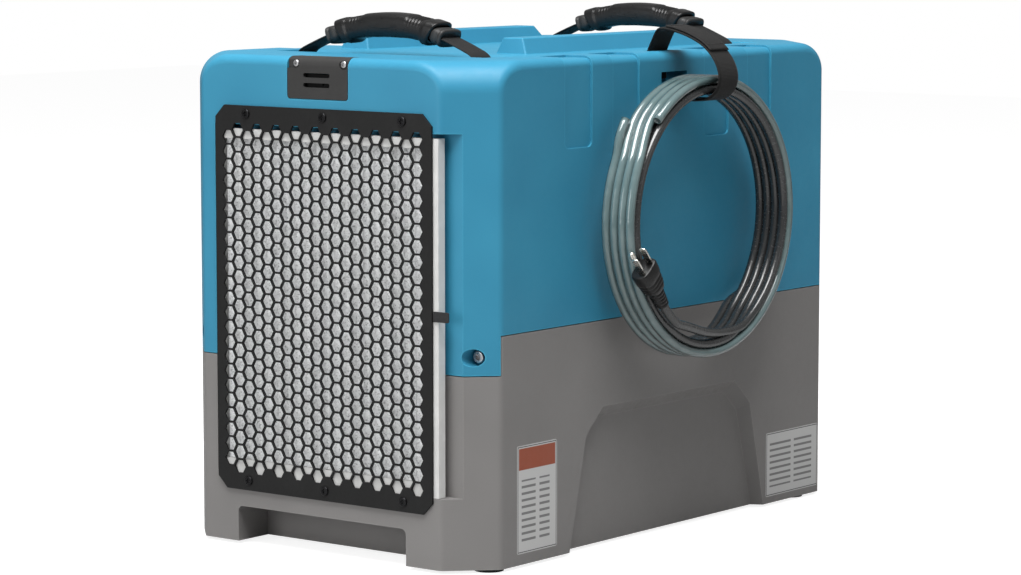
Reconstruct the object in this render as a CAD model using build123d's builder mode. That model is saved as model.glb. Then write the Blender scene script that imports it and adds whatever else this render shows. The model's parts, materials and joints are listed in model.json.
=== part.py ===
from build123d import *
from math import cos, pi, radians, sin, sqrt, tan
import os

os.makedirs("parts", exist_ok=True)

# ---------------------------------------------------------------- driving dimensions, in mm
# X runs across the cabinet, Y from the intake at the front to the outlet at the rear, Z up.
WIDTH = 315
DEPTH = 537
TOP = 409
FOOT = 3
WALL = 6
CORNER = 35  # 45 degree chamfer on the two right upright corners
LEFT_CORNER = 26.5  # and on the two left ones
CROWN = 25  # rounding where a corner chamfer meets the top
EDGE = 8  # rounding of the other outside edges
SEAM_SIDE = 191  # joint between the two mouldings, along the sides
SEAM_LOW = 159  # and at the front, the rear and the corners
SEAM_GAP = 0.8
FLOOR_LOW = 34
FLOOR = 38

SIDE = WIDTH / 2
FRONT = -DEPTH / 2
REAR = DEPTH / 2
CORNER_Y = REAR - CORNER
MID_SEAM = SEAM_GAP / 2

PLATE_W = 229.7
PLATE_X = 0.9
PLATE_H = 320
PLATE_Z = 207.2
PLATE_T = 2
PLATE_CHAMFER = 9.7
HEX_PITCH = 12.2
HEX_WEB = 1.5
HEX_COLUMNS = 20
HEX_ROWS = 24

BAY_DEPTH = 13
BAY_LOW = 60.9
BAY_HIGH = 351.7
FILTER_LEFT = -115.8
FILTER_RIGHT = 121
FILTER_LOW = 61.2
FILTER_HIGH = 348
FILTER_T = 8.2
FILTER_BORDER = 8.5
FILTER_SILL = 11.5  # deeper border along the bottom

HANDLE_Y = (-178, 172)
HANDLE_REACH = 94.5
GRIP_HALF = 53
GRIP_RADIUS = 192
GRIP_TOP = 442.5
GRIP_T = 20
GRIP_W = 28
CLAMP_HALF = 62
FLANGE_T = 14
SHOULDER = 66
WEBBING_W = 25
WEBBING_T = 2

RING_Y = -0.6
RING_Z = 271.9
RING_X = (171, 203)
CORD_D = 7.8
HOSE_R = (111.8, 119.9)
CORD_R = (103.9, 111.7)
STRAP_Y = 2
STRAP_W = 29
STRAP_T = 2.5

OUTLET_Z = 190
OUTLET_SIZE = 220
FAN_D = 196
BOLT_Z = 174
BOLT_X = 141

GLAND_Y = 145
GLAND_Z = 300
GLAND_R = 7.95
BOOT_LOW = 262
LEAD_X = SIDE + 6.8
DRAIN_X = -100
DRAIN_Z = 62
FLOAT_X = -72
FLOAT_Y = -36
FLOAT_Z = 52
SPOUT_Z = 50


# ---------------------------------------------------------------- shared helpers
def box_between(low, high):
    """A plain box between two opposite corners."""
    size = [b - a for a, b in zip(low, high)]
    centre = [(a + b) / 2 for a, b in zip(low, high)]
    with BuildPart() as block:
        with Locations(tuple(centre)):
            Box(*size)
    return block.part


def prism(inset, low, high):
    """Chamfered rectangle of the cabinet's plan, moved inwards by inset, between two heights."""
    with BuildPart() as block:
        with BuildSketch(Plane.XY.offset(low)) as plan:
            Rectangle(WIDTH - 2 * inset, DEPTH - 2 * inset)
            left, right = plan.vertices().group_by(Axis.X)
            chamfer(left, LEFT_CORNER - 0.586 * inset)
            chamfer(right, CORNER - 0.586 * inset)
        extrude(amount=high - low)
    return block.part


def cabinet_form(inset):
    """Outer form of the cabinet with its rounded crown, moved inwards by inset."""
    with BuildPart() as form:
        add(prism(inset, FOOT, TOP - inset))
        rim = form.faces().sort_by(Axis.Z)[-1].edges().sort_by(SortBy.LENGTH)
        fillet(rim[:4], CROWN - inset)
        uprights = form.edges().filter_by(Axis.Z)
        crown = form.edges().filter_by(GeomType.ELLIPSE)
        straight = form.faces().sort_by(Axis.Z)[-1].edges().sort_by(SortBy.LENGTH)[-4:]
        fillet(uprights + crown + straight, EDGE - inset)
    return form.part


def pan_screw(head_d, head_h, shank_d, length):
    """Pan head screw along Z: head above the origin, shank below, cross recess on top."""
    with BuildPart() as screw:
        Cylinder(head_d / 2, head_h, align=(Align.CENTER, Align.CENTER, Align.MIN))
        fillet(screw.edges().filter_by(GeomType.CIRCLE).sort_by(Axis.Z)[-1], 0.6 * head_h)
        Cylinder(shank_d / 2, length, align=(Align.CENTER, Align.CENTER, Align.MAX))
        with Locations((0, 0, head_h)):
            Box(0.5 * head_d, 0.13 * head_d, 1.1 * head_h, mode=Mode.SUBTRACT)
            Box(0.13 * head_d, 0.5 * head_d, 1.1 * head_h, mode=Mode.SUBTRACT)
    return screw.part


def finish(name, part):
    """Label one finished piece and write its file."""
    part.label = name
    export_step(part, f"parts/{name}.step")


FRONT_FACING = Plane(origin=(0, 0, 0), x_dir=(1, 0, 0), z_dir=(0, -1, 0))
REAR_FACING = Plane(origin=(0, 0, 0), x_dir=(-1, 0, 0), z_dir=(0, 1, 0))


def facing(plane, x, y, z):
    """A location on a front- or rear-facing plane, at a point in the cabinet's frame."""
    return Plane(origin=(x, y, z), x_dir=plane.x_dir, z_dir=plane.z_dir).location


# ---------------------------------------------------------------- cabinet, cut into two mouldings
outer = cabinet_form(0)

GROOVE_W = 37
GROOVE_Y = (-132, -66, 66, 132)
GROOVE_LOW = 335
GROOVE_DEPTH = 1.8
GROOVE_REACH = 27
WINDOW_Y = (STRAP_Y - 18, STRAP_Y + 19.5)
WINDOW_Z = (366, 392)
POCKET_BACK = SIDE - 24
POCKET_SLOPE = 10
LINER_T = 4
STRAP_SLOT_X = 139.5

with BuildPart() as groove_space:
    for side in (-1, 1):
        for y in GROOVE_Y:
            x = side * (SIDE - GROOVE_REACH / 2 + 1)
            with BuildSketch(Plane.XY.offset(GROOVE_LOW)):
                with Locations((x, y)):
                    Rectangle(GROOVE_REACH + 2, GROOVE_W)
            extrude(amount=TOP - GROOVE_LOW + 1)
    low_ends = groove_space.edges().filter_by(Axis.X).group_by(Axis.Z)[0]
    fillet(low_ends, 5)

with BuildPart() as groove_floor:
    add(cabinet_form(GROOVE_DEPTH))
    add(groove_space.part, mode=Mode.INTERSECT)

RECESS_OUT = [(-143.5, FOOT - 1), (-121, 97), (-97, 119), (97, 119), (121, 97), (143.5, FOOT - 1)]
RECESS_IN = [(-137.5, FOOT - 1), (-114, 91), (-93, 109), (93, 109), (114, 91), (137.5, FOOT - 1)]
RECESS_DEPTH = 10


def side_recess(side, grow):
    """Drafted hollow in the lower side wall, or the wall behind it when grown."""
    depth = RECESS_DEPTH + grow
    with BuildPart() as hollow:
        for x, outline in ((SIDE + 0.01, RECESS_OUT), (SIDE - depth, RECESS_IN)):
            with BuildSketch(Plane(origin=(side * x, 0, 0), x_dir=(0, 1, 0), z_dir=(1, 0, 0))) as face:
                with BuildLine():
                    Polyline(*outline, close=True)
                make_face()
                if grow:
                    offset(amount=grow, kind=Kind.INTERSECTION)
        loft()
    return hollow.part


NOTCH_X = (-94, 87)
NOTCH_TOP = 33
NOTCH_DEPTH = 37

with BuildPart() as notch:
    for end in (-1, 1):
        with BuildSketch(Plane.XZ.offset(-end * (REAR + 1))) as mouth:
            with BuildLine():
                Polyline((NOTCH_X[0], 0), (NOTCH_X[0], NOTCH_TOP), (NOTCH_X[1], NOTCH_TOP),
                         (NOTCH_X[1], 0), close=True)
            make_face()
            fillet(mouth.vertices().group_by(Axis.Z)[-1], 5)
        extrude(amount=end * (NOTCH_DEPTH + 1))

bay_space = box_between((FILTER_LEFT - 0.4, FRONT - 5, BAY_LOW), (SIDE + 5, FRONT + BAY_DEPTH, BAY_HIGH))
with BuildPart() as bay_liner:
    add(outer)
    liner = box_between((-122, FRONT - 1, BAY_LOW - 4), (SIDE, FRONT + BAY_DEPTH + 4, BAY_HIGH + 4))
    add(liner, mode=Mode.INTERSECT)

with BuildPart() as cavity:
    add(cabinet_form(WALL))
    add(box_between((-SIDE, FRONT, FLOOR), (SIDE, REAR, TOP)), mode=Mode.INTERSECT)

# pocket of the hook and loop strap: its wall, then the hollow with a sloping back
with BuildPart() as pocket_wall:
    add(outer)
    add(box_between((POCKET_BACK - LINER_T, WINDOW_Y[0] - LINER_T, WINDOW_Z[0] - LINER_T),
                    (SIDE, WINDOW_Y[1] + LINER_T, TOP - 1)), mode=Mode.INTERSECT)

with BuildPart() as strap_pocket:
    with BuildSketch(Plane.XZ.offset(-WINDOW_Y[0])):
        with BuildLine():
            Polyline((SIDE + 1, WINDOW_Z[0]), (POCKET_BACK + POCKET_SLOPE, WINDOW_Z[0]),
                     (POCKET_BACK, WINDOW_Z[0] + POCKET_SLOPE), (POCKET_BACK, WINDOW_Z[1]),
                     (SIDE + 1, WINDOW_Z[1]), close=True)
        make_face()
    extrude(amount=WINDOW_Y[0] - WINDOW_Y[1])
    with Locations((STRAP_SLOT_X, STRAP_Y, WINDOW_Z[1] - 2)):
        Box(7, STRAP_W + 3, 40, align=(Align.CENTER, Align.CENTER, Align.MIN))

FRONT_HANDLE_BAY = [(-197, TOP + 1), (-195, TOP - 3), (-162, TOP - 3), (-141, TOP + 1)]
REAR_HANDLE_BAY = [(197, TOP + 1), (195, TOP - 3), (155, TOP - 3), (137, TOP + 1)]
RAIL_X = (68, 101)
RAIL_TOP_X = (73.5, 94)
RAIL_TOP = 422.2

with BuildPart() as cabinet:
    add(outer)
    add(groove_space.part, mode=Mode.SUBTRACT)
    add(groove_floor.part)
    add(cavity.part, mode=Mode.SUBTRACT)
    add(prism(WALL, FOOT - 1, FLOOR_LOW), mode=Mode.SUBTRACT)
    # feet blocks in the corners of the skirt, and the wall behind each toe notch
    for y in (-1, 1):
        for x in (-1, 1):
            with BuildSketch(Plane.XY.offset(FOOT)):
                with BuildLine():
                    Polyline((x * 94, y * 263), (x * 122.5, y * 264), (x * 153, y * 233.5),
                             (x * 151, y * 190), (x * 94, y * 190), close=True)
                make_face()
            extrude(amount=FLOOR_LOW - FOOT + 1)
        with Locations((sum(NOTCH_X) / 2, y * 245.5, FOOT)):
            Box(192, 36, FLOOR_LOW - FOOT + 1, align=(Align.CENTER, Align.CENTER, Align.MIN))
    add(notch.part, mode=Mode.SUBTRACT)
    # shallow bays under the handles
    with BuildSketch(Plane.YZ.offset(-112)):
        with BuildLine():
            Polyline(*FRONT_HANDLE_BAY, close=True)
        make_face()
        with BuildLine():
            Polyline(*REAR_HANDLE_BAY, close=True)
        make_face()
    extrude(amount=224, mode=Mode.SUBTRACT)
    with Locations(*[(x, y, TOP) for x in (-HANDLE_REACH, HANDLE_REACH) for y in HANDLE_Y]):
        Box(7, 31, 30, mode=Mode.SUBTRACT)
    add(pocket_wall.part)
    # intake bay behind the grille
    add(bay_liner.part)
    add(bay_space, mode=Mode.SUBTRACT)
    add(box_between((-103, FRONT - 5, 73), (103, FRONT + 40, 337)), mode=Mode.SUBTRACT)
    for side in (-1, 1):
        # side hollows with their own inner wall
        add(side_recess(side, 5))
        add(side_recess(side, 0), mode=Mode.SUBTRACT)
    with Locations((0, 0, FOOT)):
        Box(WIDTH + 100, DEPTH, 40, align=(Align.CENTER, Align.CENTER, Align.MAX), mode=Mode.SUBTRACT)

with BuildPart() as rails:
    for side in (-1, 1):
        with BuildSketch(Plane.XY.offset(TOP - 2)):
            with Locations((side * sum(RAIL_X) / 2, -1)):
                Rectangle(RAIL_X[1] - RAIL_X[0], 254)
        with BuildSketch(Plane.XY.offset(RAIL_TOP)):
            with Locations((side * sum(RAIL_TOP_X) / 2, -6)):
                Rectangle(RAIL_TOP_X[1] - RAIL_TOP_X[0], 236)
        loft()
    fillet(rails.edges().filter_by(lambda e: e.center().Z > TOP + 1), 1.6)

with BuildPart() as upper_region:
    add(box_between((-200, -300, SEAM_LOW + MID_SEAM), (200, 300, 500)))
    for side in (-1, 1):
        low = (side * 151 - 8, -CORNER_Y - MID_SEAM, 100)
        high = (side * 151 + 8, CORNER_Y + MID_SEAM, SEAM_SIDE + MID_SEAM)
        add(box_between(low, high), mode=Mode.SUBTRACT)

with BuildPart() as lower_region:
    add(box_between((-200, -300, 0), (200, 300, SEAM_LOW - MID_SEAM)))
    for side in (-1, 1):
        low = (side * 151 - 7, -CORNER_Y + MID_SEAM, 100)
        high = (side * 151 + 7, CORNER_Y - MID_SEAM, SEAM_SIDE - MID_SEAM)
        add(box_between(low, high))

# ---------------------------------------------------------------- upper housing
COVER_X = (-36, 28)
COVER_LOW = 375
COVER_T = 3
SEAT_DEPTH = 2
PANEL_Z = (304, 384)
PANEL_HALF = 100
PLATE_SCREWS = [(x, z) for z in (55.5, 360.5) for x in (-80, 3, 86)]
OUTLET_SCREWS = [(x, OUTLET_Z + dz) for dz in (-102, 102) for x in (-102, 102)]
PANEL_SCREWS = [(x, z) for x in (-93, 93) for z in (311, 377)]
COVER_SCREWS = [(-27.5, 403.5), (23, 403.5)]
CORNER_BOLTS = [(x, y) for x in (-BOLT_X, BOLT_X) for y in (-1, 1)]


with BuildPart() as cover_seat:
    add(box_between((COVER_X[0] - 0.6, FRONT - 1, COVER_LOW - 0.6), (COVER_X[1] + 0.6, FRONT + COVER_T, TOP + 1)))
    fillet(cover_seat.edges().filter_by(Axis.Y).group_by(Axis.Z)[0], 3.1)


def screw_holes(points, y, depth, radius):
    """Cylinders along Y that clear a row of screws set into the front or rear wall."""
    with BuildPart() as holes:
        with Locations(*[Location((x, y, z), (90, 0, 0)) for x, z in points]):
            Cylinder(radius, depth)
    return holes.part


with BuildPart() as upper_housing:
    add(cabinet.part)
    add(upper_region.part, mode=Mode.INTERSECT)
    add(rails.part)
    # bosses that the corner bolts pass through
    for x, y in CORNER_BOLTS:
        side = x / BOLT_X
        start = y * (CORNER_Y + MID_SEAM)
        reach = 261 if side > 0 else 266
        with BuildSketch(Plane.XY.offset(BOLT_Z - 13)):
            with BuildLine():
                Polyline((side * 126, start), (side * 126, y * reach), (side * 154, y * (reach - 27)),
                         (side * 154, start), close=True)
            make_face()
        extrude(amount=26)
    add(bay_space, mode=Mode.SUBTRACT)
    with Locations(*[Location((x, y * (CORNER_Y + 5 + 20), BOLT_Z), (90, 0, 0)) for x, y in CORNER_BOLTS]):
        Cylinder(7, 40, mode=Mode.SUBTRACT)
    with Locations(*[Location((x, y * (CORNER_Y + 5), BOLT_Z), (90, 0, 0)) for x, y in CORNER_BOLTS]):
        Cylinder(3.1, 40, mode=Mode.SUBTRACT)
    add(strap_pocket.part, mode=Mode.SUBTRACT)
    # seat of the humidity sensor cover
    add(cover_seat.part, mode=Mode.SUBTRACT)
    add(box_between((COVER_X[0] - 0.6, FRONT - 1, TOP - COVER_T), (COVER_X[1] + 0.6, FRONT + 16, TOP + 1)),
        mode=Mode.SUBTRACT)
    add(box_between((-25, FRONT - 1, 382), (17, FRONT + 10, 396)), mode=Mode.SUBTRACT)
    # air outlet and control panel openings in the rear wall
    with Locations(Location((0, REAR, OUTLET_Z), (90, 0, 0))):
        Cylinder(98, 40, mode=Mode.SUBTRACT)
    add(box_between((-PANEL_HALF + 8, REAR - 10, PANEL_Z[0] + 8), (PANEL_HALF - 8, REAR + 1, PANEL_Z[1] - 8)),
        mode=Mode.SUBTRACT)
    with Locations(Location((SIDE, GLAND_Y, GLAND_Z), (0, 90, 0))):
        Cylinder(GLAND_R, 40, mode=Mode.SUBTRACT)
    add(screw_holes(PLATE_SCREWS, FRONT, 24, 2.05), mode=Mode.SUBTRACT)
    add(screw_holes(COVER_SCREWS, FRONT, 24, 1.55), mode=Mode.SUBTRACT)
    add(screw_holes(OUTLET_SCREWS + PANEL_SCREWS, REAR, 24, 2.05), mode=Mode.SUBTRACT)

finish("upper_housing", upper_housing.part)

# ---------------------------------------------------------------- lower base
LABELS = [(-213.8, -160.5, 12, 100), (147.5, 231.5, 9, 66)]
LABEL_T = 0.5
FEET = [(x, y) for x in (-140, 140) for y in (-228, 212)]

with BuildPart() as lower_base:
    add(cabinet.part)
    add(lower_region.part, mode=Mode.INTERSECT)
    # bosses that the corner bolts screw into
    for x, y in CORNER_BOLTS:
        low = sorted((x / BOLT_X * 131, x / BOLT_X * 154))
        deep = sorted((y * (CORNER_Y - MID_SEAM), y * (CORNER_Y - 30)))
        add(box_between((low[0], deep[0], 148), (low[1], deep[1], 188)))
    with Locations(*[Location((x, y * CORNER_Y, BOLT_Z), (90, 0, 0)) for x, y in CORNER_BOLTS]):
        Cylinder(3.1, 56, mode=Mode.SUBTRACT)
    for y0, y1, z0, z1 in LABELS:
        add(box_between((SIDE - LABEL_T, y0, z0), (SIDE + 1, y1, z1)), mode=Mode.SUBTRACT)
    with Locations(*[(x, y, FOOT) for x, y in FEET]):
        Cylinder(2.1, 40, mode=Mode.SUBTRACT)
    with Locations(Location((0, REAR, OUTLET_Z), (90, 0, 0))):
        Cylinder(98, 40, mode=Mode.SUBTRACT)
    # recessed seat of the drain fitting in the rear wall
    with Locations(Location((DRAIN_X, REAR - 10, DRAIN_Z), (90, 0, 0))):
        Cylinder(20, 20)
        Cylinder(17, 10.01, align=(Align.CENTER, Align.CENTER, Align.MAX), mode=Mode.SUBTRACT)
        Cylinder(6.1, 60, mode=Mode.SUBTRACT)
    add(screw_holes(PLATE_SCREWS, FRONT, 24, 2.05), mode=Mode.SUBTRACT)
    add(screw_holes(OUTLET_SCREWS, REAR, 24, 2.05), mode=Mode.SUBTRACT)

finish("lower_base", lower_base.part)

with BuildPart() as side_labels:
    for y0, y1, z0, z1 in LABELS:
        add(box_between((SIDE - LABEL_T, y0 + 0.1, z0 + 0.1), (SIDE, y1 - 0.1, z1 - 0.1)))
    fillet(side_labels.edges().filter_by(Axis.X), 2)
finish("side_labels", side_labels.part)

with BuildPart() as rubber_feet:
    with Locations(*[(x, y, 0) for x, y in FEET]):
        Cylinder(12, FOOT, align=(Align.CENTER, Align.CENTER, Align.MIN))
        Cylinder(5, 1.6, align=(Align.CENTER, Align.CENTER, Align.MIN), mode=Mode.SUBTRACT)
        Cylinder(2.1, 10, mode=Mode.SUBTRACT)
finish("rubber_feet", rubber_feet.part)

foot_screw = pan_screw(8, 1.4, 4, 16)
with BuildPart() as feet_screws:
    with Locations(*[Location((x, y, 1.6), (180, 0, 0)) for x, y in FEET]):
        add(foot_screw)
finish("feet_screws", feet_screws.part)

with BuildPart() as bolt:
    Cylinder(5, 5, align=(Align.CENTER, Align.CENTER, Align.MIN))
    fillet(bolt.edges().group_by(Axis.Z)[-1], 0.8)
    with BuildSketch(Plane.XY.offset(5)):
        RegularPolygon(2.9, 6)
    extrude(amount=-3, mode=Mode.SUBTRACT)
    Cylinder(3, 26, align=(Align.CENTER, Align.CENTER, Align.MAX))
with BuildPart() as corner_bolts:
    for x, y in CORNER_BOLTS:
        plane = REAR_FACING if y > 0 else FRONT_FACING
        with Locations(facing(plane, x, y * (CORNER_Y + 5), BOLT_Z)):
            add(bolt.part)
finish("corner_bolts", corner_bolts.part)

# ---------------------------------------------------------------- intake grille and its screws
HOLE_R = (HEX_PITCH - HEX_WEB) / sqrt(3)
COLUMN_PITCH = HEX_PITCH * sqrt(3) / 2

hole_centres = []
for column in range(HEX_COLUMNS):
    rows = HEX_ROWS - (column + 1) % 2
    x = (column - (HEX_COLUMNS - 1) / 2) * COLUMN_PITCH
    hole_centres += [(x, (row - (rows - 1) / 2) * HEX_PITCH - 0.4) for row in range(rows)]

with BuildPart() as intake_grille:
    with BuildSketch(Plane(origin=(0, FRONT, PLATE_Z), x_dir=(1, 0, 0), z_dir=(0, -1, 0))) as sheet:
        with Locations((PLATE_X, 0)):
            Rectangle(PLATE_W, PLATE_H)
        chamfer(sheet.vertices(), PLATE_CHAMFER)
        with Locations(*hole_centres):
            RegularPolygon(HOLE_R, 6, mode=Mode.SUBTRACT)
        with Locations(*[(x, z - PLATE_Z) for x, z in PLATE_SCREWS]):
            Circle(2.05, mode=Mode.SUBTRACT)
    extrude(amount=PLATE_T)
finish("intake_grille", intake_grille.part)

plate_screw = pan_screw(8, 1.5, 4, 9)
with BuildPart() as grille_screws:
    for x, z in PLATE_SCREWS:
        with Locations(facing(FRONT_FACING, x, FRONT - PLATE_T, z)):
            add(plate_screw)
finish("grille_screws", grille_screws.part)

# ---------------------------------------------------------------- sliding filter
FILTER_Y = FRONT + 0.3
PLEAT_PITCH = 6

with BuildPart() as filter_frame:
    add(box_between((FILTER_LEFT, FILTER_Y, FILTER_LOW), (FILTER_RIGHT, FILTER_Y + FILTER_T, FILTER_HIGH)))
    add(box_between((FILTER_LEFT + FILTER_BORDER, FRONT - 5, FILTER_LOW + FILTER_SILL),
                    (FILTER_RIGHT - FILTER_BORDER, FRONT + 40, FILTER_HIGH - FILTER_BORDER)), mode=Mode.SUBTRACT)
finish("filter_frame", filter_frame.part)

media_left = FILTER_LEFT + FILTER_BORDER
media_right = FILTER_RIGHT - FILTER_BORDER
pleats = int((media_right - media_left) / PLEAT_PITCH)
pitch = (media_right - media_left) / pleats
crests = [(media_left + pitch * n / 2, FILTER_Y + (1.5 if n % 2 else 4)) for n in range(2 * pleats + 1)]
backs = [(x, y + 3.5) for x, y in reversed(crests)]
with BuildPart() as filter_media:
    with BuildSketch(Plane.XY.offset(FILTER_LOW + FILTER_SILL)):
        with BuildLine():
            Polyline(*(crests + backs), close=True)
        make_face()
    extrude(amount=FILTER_HIGH - FILTER_LOW - FILTER_SILL - FILTER_BORDER)
finish("filter_media", filter_media.part)

with BuildPart() as filter_pull_tab:
    add(box_between((116.6, FILTER_Y - 1.2, 202.8), (131.8, FILTER_Y, 211.1)))
    fillet(filter_pull_tab.edges().filter_by(Axis.Y).sort_by(Axis.X)[-2:], 1.5)
finish("filter_pull_tab", filter_pull_tab.part)

# ---------------------------------------------------------------- humidity sensor and its cover
with BuildPart() as sensor_cover:
    add(box_between((COVER_X[0], FRONT, COVER_LOW), (COVER_X[1], FRONT + COVER_T, TOP)))
    add(box_between((COVER_X[0], FRONT, TOP - COVER_T), (COVER_X[1], FRONT + 15.4, TOP)))
    outside = [e for e in sensor_cover.edges().filter_by(Axis.X)
               if abs(e.center().Y - FRONT) < 0.1 and e.center().Z > TOP - 1]
    fillet(outside, EDGE)
    fillet(sensor_cover.edges().filter_by(Axis.Y).group_by(Axis.Z)[0], 2.5)
    with Locations(*[Location((x, FRONT, z), (90, 0, 0)) for x, z in COVER_SCREWS]):
        Cylinder(4, 2 * SEAT_DEPTH, mode=Mode.SUBTRACT)
        Cylinder(1.55, 12, mode=Mode.SUBTRACT)
    for end, (x, z) in zip(COVER_X, COVER_SCREWS):
        low = (min(x, end), FRONT - 1, z - 4)
        add(box_between(low, (max(x, end), FRONT + SEAT_DEPTH, TOP)), mode=Mode.SUBTRACT)
    with BuildSketch(Plane(origin=(-4, FRONT, 390), x_dir=(1, 0, 0), z_dir=(0, -1, 0))):
        with Locations((-1, -4), (-1, 4)):
            SlotOverall(28, 3.6)
    extrude(amount=-COVER_T, mode=Mode.SUBTRACT)
finish("sensor_cover", sensor_cover.part)

cover_screw = pan_screw(5.8, 1.6, 3, 6)
with BuildPart() as sensor_cover_screws:
    for x, z in COVER_SCREWS:
        with Locations(facing(FRONT_FACING, x, FRONT + SEAT_DEPTH, z)):
            add(cover_screw)
finish("sensor_cover_screws", sensor_cover_screws.part)

with BuildPart() as sensor_board:
    add(box_between((-24, FRONT + 4.2, 383), (16, FRONT + 5.8, 395)))
    add(box_between((-7, FRONT + 3.2, 386), (-1, FRONT + 4.2, 392)))
finish("sensor_board", sensor_board.part)

# ---------------------------------------------------------------- carrying handles
GRIP_CENTRE_Z = GRIP_TOP - GRIP_T / 2 - GRIP_RADIUS


def arc_point(radius, x):
    """Point of the grip's arc at a distance x from its middle."""
    return (x, GRIP_CENTRE_Z + sqrt(radius ** 2 - x ** 2))


def arched_bar(y, half, thickness, width):
    """Bar that follows the grip's arc between -half and half."""
    low = GRIP_RADIUS - thickness / 2
    high = GRIP_RADIUS + thickness / 2
    with BuildPart() as bar:
        with BuildSketch(Plane.XZ.offset(-y)):
            with BuildLine():
                ThreePointArc(arc_point(low, -half), arc_point(low, 0), arc_point(low, half))
                Line(arc_point(low, half), arc_point(high, half))
                ThreePointArc(arc_point(high, half), arc_point(high, 0), arc_point(high, -half))
                Line(arc_point(high, -half), arc_point(low, -half))
            make_face()
        extrude(amount=width / 2, both=True)
    return bar.part


for y, end in zip(HANDLE_Y, ("front", "rear")):
    channel = arched_bar(y, GRIP_HALF + 1, 8.6, WEBBING_W + 0.4)
    outside = arched_bar(y, GRIP_HALF, GRIP_T, GRIP_W)
    with BuildPart() as grip:
        add(outside)
        fillet(grip.edges().filter_by(GeomType.CIRCLE), 5.5)
        add(channel, mode=Mode.SUBTRACT)
    finish(f"{end}_handle_grip", grip.part)

    foot = (HANDLE_REACH, TOP)
    shoulder = arc_point(GRIP_RADIUS, SHOULDER)
    with BuildPart() as webbing:
        with BuildSketch(Plane.XZ.offset(-y)):
            with BuildLine():
                Polyline((-foot[0], foot[1]), (-shoulder[0], shoulder[1]))
                ThreePointArc((-shoulder[0], shoulder[1]), arc_point(GRIP_RADIUS, 0), shoulder)
                Line(shoulder, foot)
            trace(line_width=WEBBING_T)
        extrude(amount=WEBBING_W / 2, both=True)
    finish(f"{end}_handle_webbing", webbing.part)

    clamp_bar = arched_bar(y, CLAMP_HALF, 8.4, WEBBING_W - 1)
    strap_space = arched_bar(y, CLAMP_HALF + 9, WEBBING_T + 0.1, WEBBING_W + 4)
    middle = arched_bar(y, CLAMP_HALF - 24, 30, 60)
    flange = arched_bar(y, CLAMP_HALF, FLANGE_T, GRIP_W)
    with BuildPart() as clamps:
        add(flange)
        fillet(clamps.edges().filter_by(GeomType.CIRCLE), 4)
        add(arched_bar(y, GRIP_HALF + 0.4, 30, 60), mode=Mode.SUBTRACT)
        add(clamp_bar)
        add(middle, mode=Mode.SUBTRACT)
        add(strap_space, mode=Mode.SUBTRACT)
    finish(f"{end}_handle_clamps", clamps.part)

with BuildPart() as handle_anchors:
    with Locations(*[(x, y, TOP - WALL) for x in (-HANDLE_REACH, HANDLE_REACH) for y in HANDLE_Y]):
        Box(18, 44, 2, align=(Align.CENTER, Align.CENTER, Align.MAX))
        Box(WEBBING_T, WEBBING_W, 1.2, align=(Align.CENTER, Align.CENTER, Align.MIN))
finish("handle_anchors", handle_anchors.part)

# ---------------------------------------------------------------- hook and loop strap
STRAP_PATH = [(STRAP_SLOT_X, 385), (STRAP_SLOT_X + 0.2, 410), (143.5, 420), (150, 425.8), (162, 427),
              (178, 424.5), (196, 416), (208, 404), (213.5, 391), (211.8, 380.5), (205, 372.6), (196, 369.7),
              (182, 369.2), (168, 369.4), (151, 371), (144, 377)]
with BuildPart() as hook_loop_strap:
    with BuildSketch(Plane.XZ.offset(-STRAP_Y)):
        with BuildLine():
            FilletPolyline(*STRAP_PATH, radius=4)
        trace(line_width=STRAP_T)
    extrude(amount=STRAP_W / 2, both=True)
finish("hook_loop_strap", hook_loop_strap.part)

# ---------------------------------------------------------------- drain hose and power cord
ring_axis = Axis((0, RING_Y, RING_Z), (1, 0, 0))


def coil(low_r, high_r, low_x, high_x):
    """Closed ring of the outer shape of one layer of turns."""
    with BuildPart() as ring:
        with BuildSketch(Plane.XZ.offset(-RING_Y)) as section:
            with Locations(((low_x + high_x) / 2, RING_Z + (low_r + high_r) / 2)):
                Rectangle(high_x - low_x, high_r - low_r)
            fillet(section.vertices(), 3.8)
        revolve(axis=ring_axis)
    return ring.part


def tube(points, diameter, name):
    """Round cord along straight runs joined by the largest arcs that the runs allow."""
    radii = []
    for before, here, after in zip(points, points[1:], points[2:]):
        run_in = Vector(*here) - Vector(*before)
        run_out = Vector(*after) - Vector(*here)
        turn = radians(run_in.get_angle(run_out))
        radii.append(0.45 * min(run_in.length, run_out.length) / tan(turn / 2))
    with BuildPart() as lead:
        with BuildLine() as route:
            FilletPolyline(*points, radius=radii)
        path = route.wires()[0]
        with BuildSketch(Plane(origin=path @ 0, z_dir=path % 0)):
            Circle(diameter / 2)
        sweep(path=path)
    section = pi * diameter ** 2 / 4
    print(name, "radii", [round(r) for r in radii], "length", round(path.length, 1),
          "volume ratio", round(lead.part.volume / (section * path.length), 4))
    return lead.part


finish("drain_hose_coil", coil(*HOSE_R, *RING_X))
finish("power_cord_coil", coil(*CORD_R, RING_X[0], RING_X[1] - 1))

lead_route = [(LEAD_X, GLAND_Y, BOOT_LOW), (LEAD_X, GLAND_Y, 246), (165, 138, 229), (166, 124, 214.5),
              (166.6, 107, 203.5), (167, 90, 197), (167.2, 71.7, 191.6), (170, 58.3, 183)]
finish("power_cord_lead", tube(lead_route, CORD_D, "power_cord_lead"))

PLUG_TAIL = Vector(210, -86.4, 206)
PLUG_AIM = Vector(2, -42.4, 46.3).normalized()
before_plug = PLUG_TAIL - PLUG_AIM * 22
tail_route = [(197.3, 36, 170), (198.5, 8, 172.5), (203, -20, 177), (206.5, -47, 184.5), tuple(before_plug),
              tuple(PLUG_TAIL)]
finish("power_cord_tail", tube(tail_route, CORD_D, "power_cord_tail"))

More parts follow.
